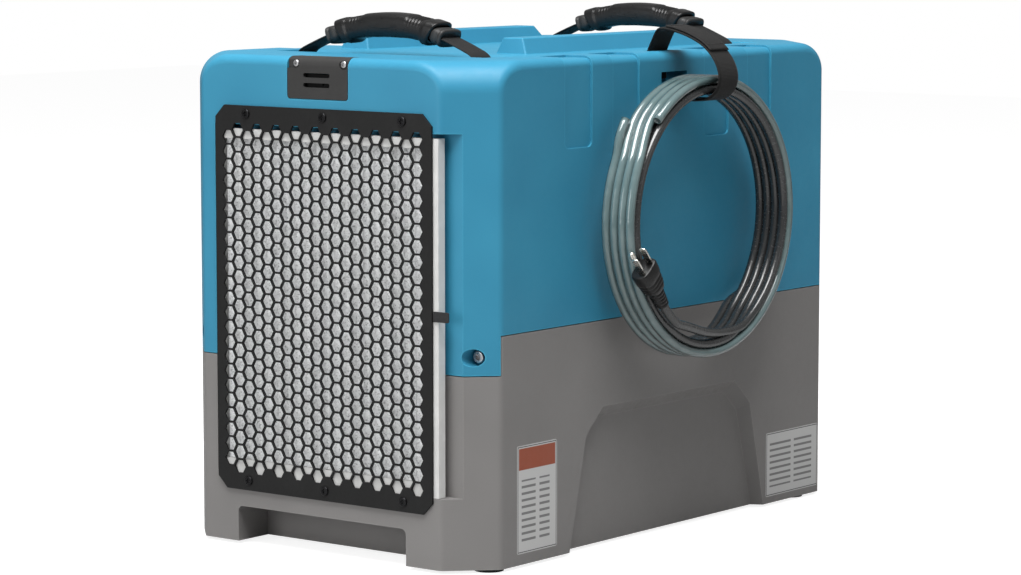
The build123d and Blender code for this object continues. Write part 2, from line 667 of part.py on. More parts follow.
with BuildPart() as cord_gland:
    with Locations(Location((SIDE, GLAND_Y, GLAND_Z), (0, 90, 0))):
        Cylinder(11, 2, align=(Align.CENTER, Align.CENTER, Align.MIN))
        Cylinder(GLAND_R, WALL + 6, align=(Align.CENTER, Align.CENTER, Align.MAX))
        Cylinder(6.2, LEAD_X - SIDE, align=(Align.CENTER, Align.CENTER, Align.MIN))
    with Locations((LEAD_X, GLAND_Y, GLAND_Z)):
        Sphere(6.2)
    with Locations((LEAD_X, GLAND_Y, BOOT_LOW)):
        Cone(4.5, 6.2, GLAND_Z - BOOT_LOW, align=(Align.CENTER, Align.CENTER, Align.MIN))
finish("cord_gland", cord_gland.part)

with BuildPart() as gland_nut:
    with Locations(Location((SIDE - WALL, GLAND_Y, GLAND_Z), (0, -90, 0))):
        Cylinder(12, 4, align=(Align.CENTER, Align.CENTER, Align.MIN))
        Cylinder(GLAND_R, 20, mode=Mode.SUBTRACT)
finish("gland_nut", gland_nut.part)

plug_plane = Plane(origin=PLUG_TAIL, x_dir=(1, 0, -0.04), z_dir=PLUG_AIM)
RELIEF = 20
BODY = 25
with BuildPart() as plug_body:
    with BuildSketch(plug_plane):
        Circle(4.9)
    with BuildSketch(plug_plane.offset(RELIEF)):
        Circle(6.4)
    loft()
    with BuildSketch(plug_plane.offset(RELIEF - 2)) as neck:
        RectangleRounded(13, 13, 4)
    with BuildSketch(plug_plane.offset(RELIEF + BODY)) as face:
        RectangleRounded(16.5, 24, 6)
    loft()
finish("plug_body", plug_body.part)

with BuildPart() as plug_blades:
    with BuildSketch(plug_plane.offset(RELIEF + BODY)):
        with Locations((3, -6.35), (3, 6.35)):
            Rectangle(6.3, 1.6)
        with Locations((-4.6, 0)):
            Circle(2.4)
    extrude(amount=17)
finish("plug_blades", plug_blades.part)

# ---------------------------------------------------------------- rear outlet grille and control panel
with BuildPart() as outlet_grille:
    with BuildSketch(Plane(origin=(0, REAR, OUTLET_Z), x_dir=(-1, 0, 0), z_dir=(0, 1, 0))) as guard:
        Rectangle(OUTLET_SIZE, OUTLET_SIZE)
        chamfer(guard.vertices(), PLATE_CHAMFER)
        Circle(96, mode=Mode.SUBTRACT)
        for radius in (86, 70, 54, 38, 22):
            Circle(radius + 1.5)
            Circle(radius - 1.5, mode=Mode.SUBTRACT)
        Circle(12)
        with PolarLocations(0, 6):
            with Locations((54, 0)):
                Rectangle(88, 4)
        with Locations(*[(x, z - OUTLET_Z) for x, z in OUTLET_SCREWS]):
            Circle(2.05, mode=Mode.SUBTRACT)
    extrude(amount=PLATE_T)
finish("outlet_grille", outlet_grille.part)

with BuildPart() as rear_screws:
    for x, z in OUTLET_SCREWS + PANEL_SCREWS:
        with Locations(facing(REAR_FACING, x, REAR + PLATE_T, z)):
            add(plate_screw)
finish("rear_screws", rear_screws.part)

BUTTONS = {"power_button": -66, "mode_button": -42, "down_button": 42, "up_button": 66}
BUTTON_Z = 344
BUTTON_R = 7
BUTTON_TRAVEL = 0.8
LENS_HALF = (26, 15)

with BuildPart() as control_panel:
    with BuildSketch(Plane(origin=(0, REAR, sum(PANEL_Z) / 2), x_dir=(-1, 0, 0), z_dir=(0, 1, 0))) as bezel:
        RectangleRounded(2 * PANEL_HALF, PANEL_Z[1] - PANEL_Z[0], 8)
        with Locations(*[(x, 0) for x in BUTTONS.values()]):
            Circle(BUTTON_R + 0.4, mode=Mode.SUBTRACT)
        with Locations(*[(x, z - sum(PANEL_Z) / 2) for x, z in PANEL_SCREWS]):
            Circle(2.05, mode=Mode.SUBTRACT)
        Rectangle(2 * LENS_HALF[0] + 0.2, 2 * LENS_HALF[1] + 0.2, mode=Mode.SUBTRACT)
    extrude(amount=PLATE_T)
finish("control_panel", control_panel.part)

with BuildPart() as display_lens:
    centre_z = sum(PANEL_Z) / 2
    add(box_between((-LENS_HALF[0], REAR - 0.5, centre_z - LENS_HALF[1]),
                    (LENS_HALF[0], REAR + PLATE_T + 0.3, centre_z + LENS_HALF[1])))
    fillet(display_lens.edges().group_by(Axis.Y)[-1], 0.4)
finish("display_lens", display_lens.part)

for name, x in BUTTONS.items():
    with BuildPart() as button:
        with Locations(Location((-x, REAR - 1.2, BUTTON_Z), (-90, 0, 0))):
            Cylinder(BUTTON_R, PLATE_T + 2.4, align=(Align.CENTER, Align.CENTER, Align.MIN))
        fillet(button.edges().filter_by(GeomType.CIRCLE).sort_by(Axis.Y)[-1], 0.8)
    finish(name, button.part)

with BuildPart() as control_board:
    add(box_between((-78, REAR - 7.4, 322), (78, REAR - 5.8, 366)))
    add(box_between((-24, REAR - 5.8, 331), (24, REAR - 0.6, 357)))
    for x in BUTTONS.values():
        add(box_between((-x - 3, REAR - 5.8, BUTTON_Z - 3), (-x + 3, REAR - 2.4, BUTTON_Z + 3)))
finish("control_board", control_board.part)

with BuildPart() as drain_fitting:
    with Locations(Location((DRAIN_X, REAR - 24, DRAIN_Z), (-90, 0, 0))):
        Cylinder(9, 4, align=(Align.CENTER, Align.CENTER, Align.MIN))
        Cylinder(6, 21, align=(Align.CENTER, Align.CENTER, Align.MIN))
    with Locations(Location((DRAIN_X, REAR - 10, DRAIN_Z), (-90, 0, 0))):
        Cylinder(10, 3, align=(Align.CENTER, Align.CENTER, Align.MIN))
        Cylinder(3.2, 60, mode=Mode.SUBTRACT)
finish("drain_fitting", drain_fitting.part)

# ---------------------------------------------------------------- internal frame and cold circuit
CHASSIS_TOP = FLOOR + 2

with BuildPart() as chassis_plate:
    add(box_between((-118, -246, FLOOR), (118, 246, CHASSIS_TOP)))
finish("chassis_plate", chassis_plate.part)


def heat_exchanger(y0, y1, z0, z1, half):
    """Block of fins between two end plates, with the tube bends standing out at one end."""
    pitch = 25
    rows = int((z1 - z0 - 45) / pitch)
    with BuildPart() as core:
        add(box_between((-half + 2, y0, z0), (half - 2, y1, z1)))
        add(box_between((-half, y0 - 1, z0), (-half + 2, y1 + 1, z1)))
        add(box_between((half - 2, y0 - 1, z0), (half, y1 + 1, z1)))
        bends = [(half, (y0 + y1) / 2, z0 + 22 + pitch * n) for n in range(rows)]
        with Locations(*[Location(point, (90, 0, 0)) for point in bends]):
            Torus(7, 3.5)
    return core.part


finish("evaporator", heat_exchanger(-249, -209, 62, 345, 106))
finish("condenser", heat_exchanger(-199, -159, 62, 345, 106))

with BuildPart() as drip_tray:
    add(box_between((-112, -249.5, CHASSIS_TOP), (112, -155, 60)))
    add(box_between((-110, -247.5, CHASSIS_TOP + 2), (110, -157, 61)), mode=Mode.SUBTRACT)
    with Locations((FLOAT_X, -136, SPOUT_Z + 4)):
        Box(16, 42, 10)
        Box(12, 50, 7, mode=Mode.SUBTRACT)
finish("drip_tray", drip_tray.part)

COMPRESSOR = (40, 20)
COMPRESSOR_FEET = [(COMPRESSOR[0] + 62 * cos(radians(a)), COMPRESSOR[1] + 62 * sin(radians(a))) for a in (90, 210, 330)]
with BuildPart() as compressor:
    with Locations((COMPRESSOR[0], COMPRESSOR[1], 54)):
        Cylinder(56, 150, align=(Align.CENTER, Align.CENTER, Align.MIN))
    fillet(compressor.edges().group_by(Axis.Z)[-1], 36)
    fillet(compressor.edges().group_by(Axis.Z)[0], 12)
    with BuildSketch(Plane.XY.offset(54)):
        with Locations(*COMPRESSOR_FEET):
            Circle(14)
        with Locations(COMPRESSOR):
            Circle(58)
    extrude(amount=3)
    with Locations(*[(x, y, 54) for x, y in COMPRESSOR_FEET]):
        Cylinder(4.2, 20, mode=Mode.SUBTRACT)
finish("compressor", compressor.part)

with BuildPart() as compressor_grommets:
    with Locations(*[(x, y, CHASSIS_TOP) for x, y in COMPRESSOR_FEET]):
        Cylinder(11, 14, align=(Align.CENTER, Align.CENTER, Align.MIN))
        Cylinder(4, 18, align=(Align.CENTER, Align.CENTER, Align.MIN))
finish("compressor_grommets", compressor_grommets.part)

discharge = [(54, 14, 204), (54, 14, 236), (62, -40, 285), (90, -110, 318), (92, -159, 318)]
suction = [(28, 22, 204), (28, 22, 240), (70, -12, 290), (128, -80, 316), (132, -155, 318), (128, -229, 318),
           (106, -229, 318)]
finish("discharge_pipe", tube(discharge, 8, "discharge_pipe"))
finish("suction_pipe", tube(suction, 10, "suction_pipe"))

DRIER = (-20, -120)
DRIER_Z = (155, 245)
liquid = [(*DRIER, DRIER_Z[1]), (*DRIER, 280), (-46, -135, 300), (-50, -159, 300)]
capillary = [(*DRIER, DRIER_Z[0]), (*DRIER, 138), (-60, -137, 125), (-122, -160, 115), (-130, -205, 112),
             (-124, -229, 110), (-106, -229, 110)]
liquid_tube = tube(liquid, 6, "liquid_tube")
capillary_tube = tube(capillary, 3.2, "capillary_tube")
with BuildPart() as liquid_line:
    with Locations((*DRIER, sum(DRIER_Z) / 2)):
        Cylinder(10, DRIER_Z[1] - DRIER_Z[0])
    fillet(liquid_line.edges().filter_by(GeomType.CIRCLE), 5)
    add(liquid_tube)
    add(capillary_tube)
finish("liquid_line", liquid_line.part)

# ---------------------------------------------------------------- fan
SHROUD_Y = 240
HUB_FRONT = 196

with BuildPart() as fan_shroud:
    with BuildSketch(Plane.XZ.offset(-SHROUD_Y)) as board:
        with Locations((0, 188)):
            Rectangle(230, 290)
        with Locations((0, OUTLET_Z)):
            Circle(FAN_D / 2 + 3, mode=Mode.SUBTRACT)
        with Locations((DRAIN_X, DRAIN_Z)):
            Circle(5, mode=Mode.SUBTRACT)
    extrude(amount=-4)
    with BuildSketch(Plane.XZ.offset(-SHROUD_Y)) as collar:
        with Locations((0, OUTLET_Z)):
            Circle(FAN_D / 2 + 6)
            Circle(FAN_D / 2 + 3, mode=Mode.SUBTRACT)
    extrude(amount=34)
finish("fan_shroud", fan_shroud.part)

with BuildPart() as fan_impeller:
    with Locations(Location((0, HUB_FRONT + 10, OUTLET_Z), (-90, 0, 0))):
        Cylinder(30, 34, align=(Align.CENTER, Align.CENTER, Align.MIN))
        Cylinder(4.05, 100, mode=Mode.SUBTRACT)
    for blade in range(5):
        spoke = Location((0, HUB_FRONT + 27, OUTLET_Z), (0, 72 * blade, 0)) * Location((62, 0, 0), (38, 0, 0))
        with Locations(spoke):
            Box(68, 2.4, 44)
finish("fan_impeller", fan_impeller.part)

with BuildPart() as fan_motor:
    with Locations(Location((0, HUB_FRONT - 68, OUTLET_Z), (-90, 0, 0))):
        Cylinder(42, 68, align=(Align.CENTER, Align.CENTER, Align.MIN))
    fillet(fan_motor.edges().filter_by(GeomType.CIRCLE), 6)
    with Locations(Location((0, HUB_FRONT, OUTLET_Z), (-90, 0, 0))):
        Cylinder(4, 46, align=(Align.CENTER, Align.CENTER, Align.MIN))
finish("fan_motor", fan_motor.part)

with BuildPart() as motor_bracket:
    for z in (OUTLET_Z - 46, OUTLET_Z + 42):
        add(box_between((-10, HUB_FRONT - 50, z), (10, SHROUD_Y - 34, z + 4)))
    add(box_between((-10, HUB_FRONT + 6, OUTLET_Z + 42), (10, HUB_FRONT + 10, OUTLET_Z + 102)))
    add(box_between((-10, HUB_FRONT + 6, OUTLET_Z - 102), (10, HUB_FRONT + 10, OUTLET_Z - 42)))
finish("motor_bracket", motor_bracket.part)

# ---------------------------------------------------------------- condensate pump and electrics
TANK = ((-112, -120, CHASSIS_TOP), (-32, 0, 110))
with BuildPart() as condensate_tank:
    add(box_between(*TANK))
    inner_low = tuple(v + 2.5 for v in TANK[0])
    add(box_between(inner_low, (TANK[1][0] - 2.5, TANK[1][1] - 2.5, 120)), mode=Mode.SUBTRACT)
    with Locations((FLOAT_X, TANK[0][1], SPOUT_Z + 4)):
        Box(17, 10, 11, mode=Mode.SUBTRACT)
finish("condensate_tank", condensate_tank.part)

with BuildPart() as tank_lid:
    add(box_between((TANK[0][0], TANK[0][1], TANK[1][2]), (TANK[1][0], TANK[1][1], TANK[1][2] + 3)))
    with Locations((FLOAT_X, FLOAT_Y, TANK[1][2])):
        Cylinder(4, TANK[1][2] - 44, align=(Align.CENTER, Align.CENTER, Align.MAX))
finish("tank_lid", tank_lid.part)

with BuildPart() as float_switch:
    with Locations((FLOAT_X, FLOAT_Y, FLOAT_Z)):
        Cylinder(15, 12)
        Cylinder(4.08, 20, mode=Mode.SUBTRACT)
    fillet(float_switch.edges().filter_by(GeomType.CIRCLE).group_by(SortBy.RADIUS)[-1], 2)
finish("float_switch", float_switch.part)

with BuildPart() as condensate_pump:
    with Locations((-72, -84, 113)):
        Cylinder(24, 46, align=(Align.CENTER, Align.CENTER, Align.MIN))
    fillet(condensate_pump.edges().group_by(Axis.Z)[-1], 6)
    with Locations(Location((-72, -62, 124), (-90, 0, 0))):
        Cylinder(5, 16, align=(Align.CENTER, Align.CENTER, Align.MIN))
finish("condensate_pump", condensate_pump.part)

pump_route = [(-72, -46, 124), (-72, -16, 124), (-92, 24, 118), (DRAIN_X, 90, 92), (DRAIN_X, 160, DRAIN_Z),
              (DRAIN_X, REAR - 24, DRAIN_Z)]
finish("pump_tube", tube(pump_route, 9, "pump_tube"))

with BuildPart() as control_box:
    add(box_between((WALL - SIDE, 20, 200), (-60, 130, 330)))
    fillet(control_box.edges().filter_by(Axis.X), 3)
finish("control_box", control_box.part)

with BuildPart() as run_capacitor:
    with Locations(Location((-60, 60, 260), (0, 90, 0))):
        Cylinder(17, 56, align=(Align.CENTER, Align.CENTER, Align.MIN))
    fillet(run_capacitor.edges().filter_by(GeomType.CIRCLE), 2)
finish("run_capacitor", run_capacitor.part)
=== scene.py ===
import json
from math import cos, pi, radians, sin, sqrt, tau

import bmesh
import bpy
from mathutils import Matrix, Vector

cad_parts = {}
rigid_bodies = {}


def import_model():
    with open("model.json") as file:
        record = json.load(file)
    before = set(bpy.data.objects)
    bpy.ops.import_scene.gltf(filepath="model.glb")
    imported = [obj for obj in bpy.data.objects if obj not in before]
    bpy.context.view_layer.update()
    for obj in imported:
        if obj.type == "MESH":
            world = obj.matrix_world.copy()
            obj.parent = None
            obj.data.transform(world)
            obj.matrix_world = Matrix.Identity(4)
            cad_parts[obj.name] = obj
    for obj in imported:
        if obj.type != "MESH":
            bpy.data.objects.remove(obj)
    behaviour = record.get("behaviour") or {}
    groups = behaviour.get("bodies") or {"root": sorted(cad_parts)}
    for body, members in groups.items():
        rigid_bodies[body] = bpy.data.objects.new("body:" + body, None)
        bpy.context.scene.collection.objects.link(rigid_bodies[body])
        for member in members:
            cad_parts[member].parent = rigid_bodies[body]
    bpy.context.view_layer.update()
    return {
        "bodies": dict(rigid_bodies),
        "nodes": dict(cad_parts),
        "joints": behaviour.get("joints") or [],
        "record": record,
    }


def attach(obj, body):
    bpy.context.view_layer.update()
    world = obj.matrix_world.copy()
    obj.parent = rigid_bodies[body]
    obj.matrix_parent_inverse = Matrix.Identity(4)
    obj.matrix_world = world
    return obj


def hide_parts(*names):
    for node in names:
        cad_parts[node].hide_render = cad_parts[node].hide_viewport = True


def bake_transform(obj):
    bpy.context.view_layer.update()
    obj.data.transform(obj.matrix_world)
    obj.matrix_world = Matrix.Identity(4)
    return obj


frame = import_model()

scene = bpy.context.scene

# ------------------------------------------------------------------ sizes shared with the CAD frame, in metres
MM = 0.001
RING_CENTRE = Vector((0.187, -0.0006, 0.27185))
RING_SAG = (0.0026, 0.00015)  # how much wider the hanging ring is across and upwards
HOSE_D = 0.0078
HOSE_BORE = 0.0052
CORD_D = 0.0078
HOSE_RING_R = 0.1145
CORD_RING_R = 0.1065
FIRST_LANE_X = 0.1751
HOSE_PITCH = 0.00795
TURNS = 4
POINTS_PER_TURN = 40
HANDLE_Y = {"front": -0.178, "rear": 0.172}
GRIP_RADIUS = 0.192
GRIP_CENTRE_Z = 0.2405
GRIP_HALF = 53  # half length of the grip with its collars, in millimetres
GRIP_END = 50  # and where its end faces stand along the arc
WEBBING_W = 0.025
WEBBING_T = 0.002


# ------------------------------------------------------------------ camera and studio
def build_camera():
    """Long lens, a little above the top, looking at the front right corner."""
    camera = bpy.data.objects.new("camera", bpy.data.cameras.new("camera"))
    scene.collection.objects.link(camera)
    camera.location = (1.8036, -2.3530, 0.5310)
    camera.rotation_euler = (radians(90 - 6.40), 0, radians(37.69))
    camera.data.lens = 120.3
    camera.data.sensor_width = 36
    camera.data.clip_start = 0.05
    camera.data.clip_end = 60
    scene.camera = camera


def build_light(name, location, target, size, power):
    """Rectangular soft light aimed at a point."""
    lamp = bpy.data.lights.new(name, "AREA")
    lamp.shape = "RECTANGLE"
    lamp.size, lamp.size_y = size
    lamp.energy = power
    holder = bpy.data.objects.new(name, lamp)
    scene.collection.objects.link(holder)
    holder.location = location
    holder.rotation_euler = (Vector(target) - Vector(location)).to_track_quat("-Z", "Y").to_euler()


def build_studio():
    """White surroundings, a pale floor and three soft lights."""
    world = bpy.data.worlds.new("studio")
    scene.world = world
    world.use_nodes = True
    background = world.node_tree.nodes["Background"]
    background.inputs["Color"].default_value = (1, 1, 1, 1)
    seen = world.node_tree.nodes.new("ShaderNodeLightPath").outputs["Is Camera Ray"]
    strength = world.node_tree.nodes.new("ShaderNodeMapRange")
    strength.inputs["To Min"].default_value = 0.28
    strength.inputs["To Max"].default_value = 1.0
    world.node_tree.links.new(seen, strength.inputs["Value"])
    world.node_tree.links.new(strength.outputs["Result"], background.inputs["Strength"])
    scene.view_settings.view_transform = "Standard"
    build_light("top_light", (0.40, -0.75, 2.35), (0, 0, 0.3), (1.7, 1.7), 112)
    build_light("front_light", (-0.75, -3.0, 0.8), (0, -0.1, 0.2), (1.4, 1.4), 26)
    build_light("side_light", (2.6, 0.4, 1.2), (0.1, 0, 0.2), (0.5, 1.6), 2)
    bpy.ops.mesh.primitive_plane_add(size=12, location=(0, 0, 0))
    floor = bpy.context.object
    floor.name = "floor"
    paint = Shader("floor_white", (0.42, 0.42, 0.42), 0.8)
    paint.set("Specular IOR Level", 0.0)
    paint.set("Emission Color", (1, 1, 1, 1))
    glow = paint.nodes.new("ShaderNodeMapRange")
    glow.inputs["To Max"].default_value = 0.85
    paint.links.new(paint.nodes.new("ShaderNodeLightPath").outputs["Is Camera Ray"], glow.inputs["Value"])
    paint.links.new(glow.outputs["Result"], paint.shader.inputs["Emission Strength"])
    floor.data.materials.append(paint.material)


# ------------------------------------------------------------------ materials
class Shader:
    """A Principled material with helpers that add its nodes."""

    def __init__(self, name, colour, roughness=0.5, metallic=0.0):
        self.material = bpy.data.materials.new(name)
        self.material.use_nodes = True
        self.nodes = self.material.node_tree.nodes
        self.links = self.material.node_tree.links
        self.shader = self.nodes["Principled BSDF"]
        self.shader.inputs["Base Color"].default_value = (*colour, 1)
        self.shader.inputs["Roughness"].default_value = roughness
        self.shader.inputs["Metallic"].default_value = metallic
        self.colour = (*colour, 1)
        self.place = self.nodes.new("ShaderNodeTexCoord").outputs["Object"]
        self.bumps = None

    def set(self, name, value):
        """Set one socket of the shader to a plain value."""
        self.shader.inputs[name].default_value = value

    def noise(self, scale, detail=3.0, stretch=None, roughness=0.55):
        """Noise between 0 and 1, in repeats per metre."""
        node = self.nodes.new("ShaderNodeTexNoise")
        node.inputs["Scale"].default_value = scale
        node.inputs["Detail"].default_value = detail
        node.inputs["Roughness"].default_value = roughness
        place = self.place
        if stretch:
            mapping = self.nodes.new("ShaderNodeMapping")
            mapping.inputs["Scale"].default_value = stretch
            self.links.new(place, mapping.inputs["Vector"])
            place = mapping.outputs["Vector"]
        self.links.new(place, node.inputs["Vector"])
        return node.outputs["Fac"]

    def math(self, operation, a, b=None):
        """One math node; a and b are sockets or numbers."""
        node = self.nodes.new("ShaderNodeMath")
        node.operation = operation
        for socket, value in zip(node.inputs, (a, b)):
            if value is None:
                continue
            if isinstance(value, (int, float)):
                socket.default_value = value
            else:
                self.links.new(value, socket)
        return node.outputs[0]

    def ramp(self, factor, low, high, to_low=0.0, to_high=1.0):
        """Remap a factor from low..high to to_low..to_high, clamped."""
        node = self.nodes.new("ShaderNodeMapRange")
        node.inputs["From Min"].default_value = low
        node.inputs["From Max"].default_value = high
        node.inputs["To Min"].default_value = to_low
        node.inputs["To Max"].default_value = to_high
        self.links.new(factor, node.inputs["Value"])
        return node.outputs["Result"]

    def mix(self, factor, other):
        """Mix the base colour towards another colour by a factor."""
        node = self.nodes.new("ShaderNodeMix")
        node.data_type = "RGBA"
        self.links.new(factor, node.inputs["Factor"])
        node.inputs["B"].default_value = (*other, 1)
        current = self.shader.inputs["Base Color"]
        if current.is_linked:
            self.links.new(current.links[0].from_socket, node.inputs["A"])
        else:
            node.inputs["A"].default_value = self.colour
        self.links.new(node.outputs["Result"], current)

    def rough(self, factor, low, high):
        """Vary the roughness between low and high."""
        self.links.new(self.ramp(factor, 0.3, 0.7, low, high), self.shader.inputs["Roughness"])

    def bump(self, height, distance, strength=1.0):
        """Add one layer of bump, distance in metres."""
        node = self.nodes.new("ShaderNodeBump")
        node.inputs["Strength"].default_value = strength
        node.inputs["Distance"].default_value = distance
        self.links.new(height, node.inputs["Height"])
        if self.bumps:
            self.links.new(self.bumps, node.inputs["Normal"])
        self.bumps = node.outputs["Normal"]
        self.links.new(self.bumps, self.shader.inputs["Normal"])

    def axis(self, index):
        """One coordinate of the object's place, in metres."""
        node = self.nodes.new("ShaderNodeSeparateXYZ")
        self.links.new(self.place, node.inputs[0])
        return node.outputs[index]

    def along(self, index):
        """One coordinate of the mesh's own length and width map, in metres."""
        node = self.nodes.new("ShaderNodeUVMap")
        node.uv_map = "along"
        split = self.nodes.new("ShaderNodeSeparateXYZ")
        self.links.new(node.outputs["UV"], split.inputs[0])
        return split.outputs[index]

    def wave(self, coordinate, pitch):
        """Sine of a coordinate between 0 and 1, one repeat per pitch."""
        turned = self.math("MULTIPLY", coordinate, tau / pitch)
        return self.ramp(self.math("SINE", turned), -1, 1)


def moulded(name, colour, pale, roughness=0.42, grain=0.00012, edge=0.0016):
    """Rotomoulded polyethylene: soft sheen, fine grain, slow thickness waviness, and paler edges that are
    partly rubbed wear and partly a painted highlight along every edge.
    """
    s = Shader(name, colour, roughness)
    s.set("Specular IOR Level", 0.24)
    slow = s.noise(9, 2)
    s.mix(s.ramp(slow, 0.35, 0.7, 0.0, 0.22), pale)
    # paler edges: rubbed wear together with a painted highlight, laid where the bevelled normal turns away
    # from the true normal
    bevel = s.nodes.new("ShaderNodeBevel")
    bevel.samples = 4
    bevel.inputs["Radius"].default_value = edge
    geometry = s.nodes.new("ShaderNodeNewGeometry")
    dot = s.nodes.new("ShaderNodeVectorMath")
    dot.operation = "DOT_PRODUCT"
    s.links.new(bevel.outputs["Normal"], dot.inputs[0])
    s.links.new(geometry.outputs["Normal"], dot.inputs[1])
    edge_wear_and_highlight = s.ramp(dot.outputs["Value"], 0.99, 0.88, 0.0, 0.7)
    s.mix(edge_wear_and_highlight, pale)
    s.rough(s.noise(160, 4), roughness - 0.05, roughness + 0.08)
    s.bump(s.noise(60, 2), 0.0004, 0.35)
    s.bump(s.noise(2600, 2), grain, 0.6)
    return s.material


def painted(name, colour, roughness=0.38, metallic=0.0, texture=0.00008):
    """Powder-coated sheet metal with a fine orange-peel texture."""
    s = Shader(name, colour, roughness, metallic)
    s.set("Specular IOR Level", 0.18)
    s.rough(s.noise(300, 3), roughness - 0.06, roughness + 0.1)
    s.mix(s.ramp(s.noise(40, 4), 0.5, 0.8, 0.0, 0.3), tuple(min(1, c * 1.7 + 0.006) for c in colour))
    s.bump(s.noise(1500, 2), texture, 0.7)
    return s.material


def matt_plastic(name, colour, roughness=0.5, grain=0.00006, gloss=0.35):
    s = Shader(name, colour, roughness)
    s.set("Specular IOR Level", gloss)
    s.rough(s.noise(400, 3), roughness - 0.07, roughness + 0.08)
    s.mix(s.ramp(s.noise(90, 3), 0.45, 0.8, 0.0, 0.25), tuple(min(1, c * 1.5 + 0.004) for c in colour))
    s.bump(s.noise(3000, 2), grain, 0.5)
    return s.material


def metal(name, colour, roughness=0.3, stretch=(1, 1, 1), marks=0.00003):
    s = Shader(name, colour, roughness, 1.0)
    s.rough(s.noise(500, 4, stretch), roughness - 0.08, roughness + 0.15)
    s.mix(s.ramp(s.noise(60, 4), 0.45, 0.8, 0.0, 0.35), tuple(c * 0.62 for c in colour))
    s.bump(s.noise(1800, 3, stretch), marks, 0.5)
    return s.material


def woven(name, colour, pale, pitch=0.0011, rib=0.0016, height=0.00028):
    """Webbing: ribs along its length crossed by weft threads, from the ribbon's own map."""
    s = Shader(name, colour, 0.72)
    s.set("Specular IOR Level", 0.25)
    s.set("Sheen Weight", 0.08)
    s.set("Sheen Roughness", 0.4)
    warp = s.wave(s.along(1), rib)
    weft = s.wave(s.along(0), pitch)
    cross = s.math("MULTIPLY", warp, weft)
    s.mix(s.ramp(cross, 0.1, 0.9, 0.0, 0.55), pale)
    s.mix(s.ramp(s.noise(220, 4), 0.5, 0.8, 0.0, 0.35), pale)
    s.bump(cross, height, 0.8)
    s.bump(s.noise(5200, 2), 0.00006, 0.5)
    return s.material


def clear_hose():
    """Clear flexible PVC, grey through its wall, with a bright gloss along each turn and painted shade
    darkening it towards its outline.
    """
    s = Shader("hose_clear", (0.15, 0.225, 0.23), 0.08)
    s.set("Transmission Weight", 0.3)
    s.set("IOR", 1.5)
    s.set("Coat Weight", 1.0)
    s.set("Coat Roughness", 0.05)
    s.mix(s.ramp(s.noise(70, 3), 0.45, 0.75, 0.0, 0.5), (0.22, 0.30, 0.305))
    # painted shade: the colour darkens towards the tube's outline, for the dark gaps between neighbouring
    # turns
    rim_shade = s.nodes.new("ShaderNodeLayerWeight")
    s.mix(s.ramp(rim_shade.outputs["Facing"], 0.3, 0.75, 0.0, 0.85), (0.02, 0.045, 0.046))
    s.bump(s.noise(240, 2), 0.00012, 0.4)
    return s.material


LONG_LABEL = (-0.2138, -0.1605, 0.012, 0.100)  # low and high y, low and high z
WIDE_LABEL = (0.1475, 0.2315, 0.009, 0.066)


def label_film():
    """Pale printed film: a coloured band along the top, a thin frame and plain bars, with no lettering."""
    s = Shader("label_film", (0.47, 0.47, 0.465), 0.4)
    across, up = s.axis(1), s.axis(2)

    def within(value, low, high):
        above = s.math("GREATER_THAN", value, low)
        return s.math("MULTIPLY", above, s.math("LESS_THAN", value, high))

    def block(y0, y1, z0, z1):
        return s.math("MULTIPLY", within(across, y0, y1), within(up, z0, z1))

    bars = s.ramp(s.wave(up, 0.0054), 0.62, 0.74)
    for (y0, y1, z0, z1), band in ((LONG_LABEL, 0.020), (WIDE_LABEL, 0.0)):
        if band:
            s.mix(block(y0 + 0.0025, y1 - 0.0025, z1 - band, z1 - 0.0025), (0.26, 0.052, 0.018))
        inside = block(y0 + 0.0016, y1 - 0.0016, z0 + 0.0016, z1 - 0.0016)
        rim = s.math("SUBTRACT", block(y0 + 0.0009, y1 - 0.0009, z0 + 0.0009, z1 - 0.0009), inside)
        s.mix(rim, (0.05, 0.05, 0.05))
        middle = (y0 + y1) / 2
        for left, right in ((y0 + 0.006, middle - 0.002), (middle + 0.003, y1 - 0.010)):
            column = block(left, right, z0 + 0.008, z1 - band - 0.008)
            s.mix(s.math("MULTIPLY", bars, column), (0.15, 0.15, 0.15))
    s.rough(s.noise(200, 3), 0.3, 0.45)
    s.bump(s.noise(2600, 2), 0.00002, 0.4)
    return s.material


# ------------------------------------------------------------------ mesh helpers
def new_object(name, mesh, material, body="cabinet"):
    """Link a smooth mesh, finish it with a material and let it ride on a body, if one is named."""
    piece = bpy.data.objects.new(name, mesh)
    scene.collection.objects.link(piece)
    mesh.materials.append(material)
    for face in mesh.polygons:
        face.use_smooth = True
    if body:
        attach(piece, body)
    return piece


def mesh_from(name, build):
    """A mesh filled by a function that is given an empty bmesh."""
    mesh = bpy.data.meshes.new(name)
    bm = bmesh.new()
    build(bm)
    bmesh.ops.recalc_face_normals(bm, faces=bm.faces)
    bm.to_mesh(mesh)
    bm.free()
    return mesh


def smooth_spline(name, points, resolution=6):
    """Curve with one spline of order 3 that ends on its last points."""
    curve = bpy.data.curves.new(name, "CURVE")
    curve.dimensions = "3D"
    spline = curve.splines.new("NURBS")
    spline.points.add(len(points) - 1)
    for target, point in zip(spline.points, points):
        target.co = (*point, 1)
    spline.order_u = 3
    spline.use_endpoint_u = True
    spline.resolution_u = resolution
    return curve


def round_cord(name, points, radius, material):
    """Round cord along control points, with capped ends."""
    curve = smooth_spline(name, points)
    curve.bevel_depth = radius
    curve.bevel_resolution = 6
    curve.use_fill_caps = True
    piece = bpy.data.objects.new(name, curve)
    scene.collection.objects.link(piece)
    curve.materials.append(material)
    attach(piece, "cabinet")
    return piece


def sample_spline(points, resolution=6):
    """Points along the same smooth spline."""
    curve = smooth_spline("sampler", points, resolution)
    holder = bpy.data.objects.new("sampler", curve)
    mesh = bpy.data.meshes.new_from_object(holder)
    path = [vertex.co.copy() for vertex in mesh.vertices]
    bpy.data.objects.remove(holder)
    bpy.data.meshes.remove(mesh)
    bpy.data.curves.remove(curve)
    return path


